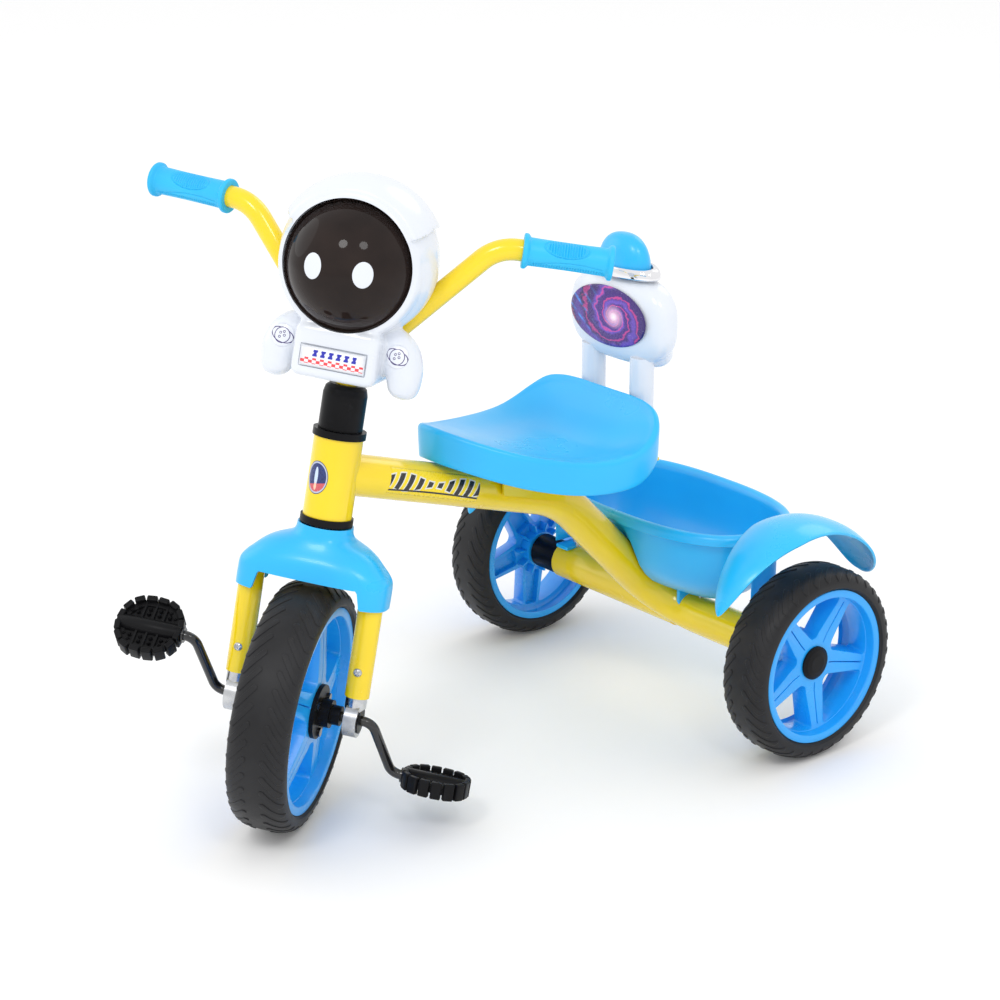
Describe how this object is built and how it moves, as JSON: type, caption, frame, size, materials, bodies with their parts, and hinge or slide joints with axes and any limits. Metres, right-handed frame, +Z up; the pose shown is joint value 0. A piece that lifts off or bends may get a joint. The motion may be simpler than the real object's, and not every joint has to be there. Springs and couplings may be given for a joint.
{
  "type": "children's tricycle",
  "caption": "Pedal tricycle for a small child with a helmet-shaped handlebar lamp, moulded saddle, low backrest and a basket between the rear wheels.",
  "frame": {"origin": "on the floor, under the middle of the tricycle's bounding box", "axes": "+Z up, -Y towards the front wheel, +X towards the rider's left"},
  "size_m": [0.46, 0.6882, 0.5865],
  "materials": {
    "yellow_paint": "gloss powder paint",
    "blue_plastic": "smooth moulded, satin gloss",
    "white_plastic": "smooth moulded, glossy",
    "black_plastic": "moulded, low sheen",
    "tyre_black": "moulded tread, smooth sidewall",
    "grip_blue": "soft ribbed rubber",
    "black_steel": "black enamel on steel rod",
    "zinc_steel": "bright zinc plate",
    "chrome_trim": "bright plated trim",
    "smoked_plastic": "dark transparent, polished",
    "printed_badge": "printed gloss sticker",
    "green_board": "circuit board"
  },
  "bodies": {
    "frame": {"main_tube": "yellow_paint", "axle_tube_right": "yellow_paint", "head_tube": "yellow_paint", "headset_lower_cup": "black_plastic", "headset_upper_cup": "black_plastic", "axle_nuts": "zinc_steel", "axle_bushes": "black_plastic", "stub_axles": "zinc_steel", "frame_screws": "zinc_steel", "seat": "blue_plastic", "seat_bracket": "yellow_paint", "seat_bolts": "zinc_steel", "backrest_bracket": "yellow_paint", "backrest_posts": "white_plastic", "backrest_front_shell": "white_plastic", "backrest_rear_shell": "white_plastic", "backrest_badge": "printed_badge", "backrest_collar": "chrome_trim", "backrest_knob": "blue_plastic", "basket": "blue_plastic", "mudguard_left": "blue_plastic", "mudguard_right": "blue_plastic"},
    "fork": {"steerer_tube": "zinc_steel", "fork_crown": "yellow_paint", "fork_leg_left": "yellow_paint", "fork_leg_right": "yellow_paint", "fork_eyes": "zinc_steel", "eye_bushes": "black_plastic", "leg_screws": "zinc_steel", "fork_cover": "blue_plastic", "stem_boot": "black_plastic", "stem_clamp": "zinc_steel", "stem": "yellow_paint", "handlebar": "yellow_paint", "grip_left": "grip_blue", "grip_right": "grip_blue", "helmet_front_shell": "white_plastic", "helmet_rear_shell": "white_plastic", "helmet_screws": "zinc_steel", "visor_bezel": "white_plastic", "visor_dome": "smoked_plastic", "lamp_board": "green_board", "battery_case": "black_plastic", "battery_door": "white_plastic", "label_plate": "white_plastic"},
    "front_wheel": {"front_tyre": "tyre_black", "front_rim": "blue_plastic", "hub_flanges": "black_plastic", "hub_bolts": "zinc_steel", "crank": "black_steel", "pedal_washers": "zinc_steel"},
    "left_pedal": {"pedal_left": "black_plastic"},
    "right_pedal": {"pedal_right": "black_plastic"},
    "left_rear_wheel": {"rear_tyre_left": "tyre_black", "rear_rim_left": "blue_plastic", "hub_cap_left": "black_plastic"},
    "right_rear_wheel": {"rear_tyre_right": "tyre_black", "rear_rim_right": "blue_plastic", "hub_cap_right": "black_plastic"},
    "button": {"lamp_button": "black_plastic"}
  },
  "joints": [
    {"name": "steer", "type": "hinge", "parent": "frame", "child": "fork", "pos_m": [0, -0.20717, 0.11233], "axis": [0, 0.21, 0.9777], "range_deg": [-81.9, 8.1]},
    {"name": "front_wheel_spin", "type": "hinge", "parent": "fork", "child": "front_wheel", "pos_m": [0.00991, -0.22007, 0.1151], "axis": [0.7997, 0.587, -0.1261], "continuous": true},
    {"name": "left_pedal_spin", "type": "hinge", "parent": "front_wheel", "child": "left_pedal", "pos_m": [0.09914, -0.12946, 0.04328], "axis": [0.7997, 0.587, -0.1261], "continuous": true},
    {"name": "right_pedal_spin", "type": "hinge", "parent": "front_wheel", "child": "right_pedal", "pos_m": [-0.07933, -0.31067, 0.18692], "axis": [0.7997, 0.587, -0.1261], "continuous": true},
    {"name": "left_rear_wheel_spin", "type": "hinge", "parent": "frame", "child": "left_rear_wheel", "pos_m": [0.2042, 0.2437, 0.095], "axis": [1, 0, 0], "continuous": true},
    {"name": "right_rear_wheel_spin", "type": "hinge", "parent": "frame", "child": "right_rear_wheel", "pos_m": [-0.2042, 0.2437, 0.095], "axis": [1, 0, 0], "continuous": true},
    {"name": "lamp_button_press", "type": "slide", "parent": "fork", "child": "button", "axis": [0.6004, -0.7819, 0.1679], "range_m": [0, 0.002], "stiffness_N_per_m": 500}
  ]
}
